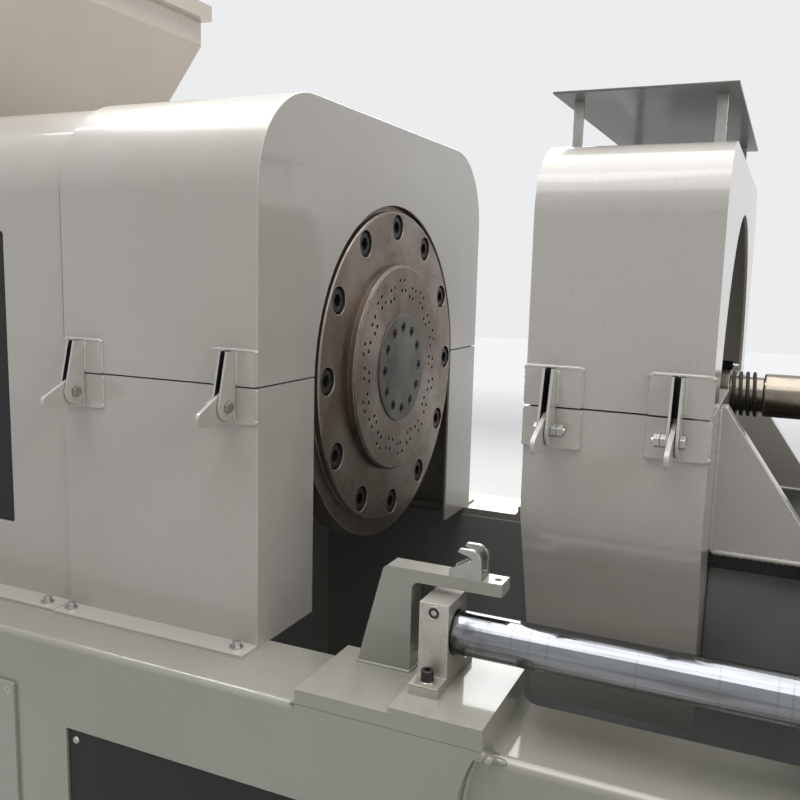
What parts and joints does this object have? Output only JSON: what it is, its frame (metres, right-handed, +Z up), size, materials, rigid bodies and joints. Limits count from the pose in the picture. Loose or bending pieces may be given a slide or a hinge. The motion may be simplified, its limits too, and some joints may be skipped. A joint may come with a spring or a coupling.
{
  "type": "plastic extruder die end with face-cutting pelletizer",
  "caption": "Plastic extruder's die end on a welded bed, with hopper, drive, hinged die guard and a knife hood that slides on guide rods.",
  "frame": {"origin": "on the floor, at the middle of the machine's bounding box", "axes": "+X along the screw axis from the drive motor to the open end, +Y to the far side, away from the covers' hinges, +Z up"},
  "size_m": [3.25, 1.016, 1.722],
  "materials": {
    "machine_paint": "gloss enamel with a light orange peel",
    "bed_paint": "gloss enamel",
    "dark_paint": "satin dark grey",
    "hopper_paint": "light beige enamel",
    "drive_paint": "satin enamel",
    "die_steel": "heat-stained machined steel",
    "dark_steel": "dark oxide",
    "rod_chrome": "hard chrome, ground",
    "bright_steel": "turned steel",
    "milled_aluminium": "milled",
    "zinc": "zinc plated",
    "sheet_grey": "grey enamel",
    "knife_steel": "ground tool steel"
  },
  "bodies": {
    "machine": {"side_beam_near": "bed_paint", "side_beam_far": "bed_paint", "rail_frame_near": "bed_paint", "rail_frame_far": "bed_paint", "bed_cross_members": "dark_paint", "deck_plate": "bed_paint", "bed_liners": "dark_paint", "bed_dark_panels": "dark_paint", "bed_cover_plates": "bed_paint", "levelling_feet": "dark_steel", "barrel_cover": "machine_paint", "barrel_cover_panels": "dark_paint", "hopper": "hopper_paint", "gearbox": "drive_paint", "drive_motor": "drive_paint", "motor_pedestal": "bed_paint", "die_adapter": "dark_steel", "die_rings": "die_steel", "strand_plate": "die_steel", "centre_cap": "die_steel", "guard_lower": "machine_paint", "guard_hinge_pins": "zinc", "rod_pads": "bed_paint", "rod_supports_near": "milled_aluminium", "rod_supports_far": "milled_aluminium", "guide_rod_near": "rod_chrome", "guide_rod_far": "rod_chrome", "gooseneck_near": "bed_paint", "gooseneck_far": "bed_paint", "keeper_near": "zinc", "keeper_far": "zinc"},
    "carriage": {"hood_lower": "machine_paint", "hood_back_plate": "machine_paint", "hood_hinge_pins": "zinc", "carriage_gussets": "machine_paint", "carriage_plate": "sheet_grey", "carriage_box": "dark_paint", "linear_bearings": "milled_aluminium", "bearing_housing": "machine_paint", "cutter_motor": "drive_paint"},
    "hood_lid": {"hood_cover": "machine_paint", "sheet_posts": "zinc", "top_sheet": "sheet_grey"},
    "guard_lid": {"guard_cover": "machine_paint"},
    "rotor": {"knife_shaft": "bright_steel", "shaft_spring": "dark_steel", "knife_head": "bright_steel", "knives": "knife_steel"}
  },
  "joints": [
    {"name": "carriage_slide", "type": "slide", "parent": "machine", "child": "carriage", "axis": [1, 0, 0], "range_m": [-0.305, 0.1]},
    {"name": "guard_hinge", "type": "hinge", "parent": "machine", "child": "guard_lid", "pos_m": [0.289, -0.4245, 0.987], "axis": [1, 0, 0], "range_deg": [0, 114]},
    {"name": "hood_hinge", "type": "hinge", "parent": "carriage", "child": "hood_lid", "pos_m": [0.745, -0.3625, 0.987], "axis": [1, 0, 0], "range_deg": [0, 114]},
    {"name": "rotor_spin", "type": "hinge", "parent": "carriage", "child": "rotor", "pos_m": [0.925, 0, 1], "axis": [1, 0, 0], "continuous": true}
  ]
}
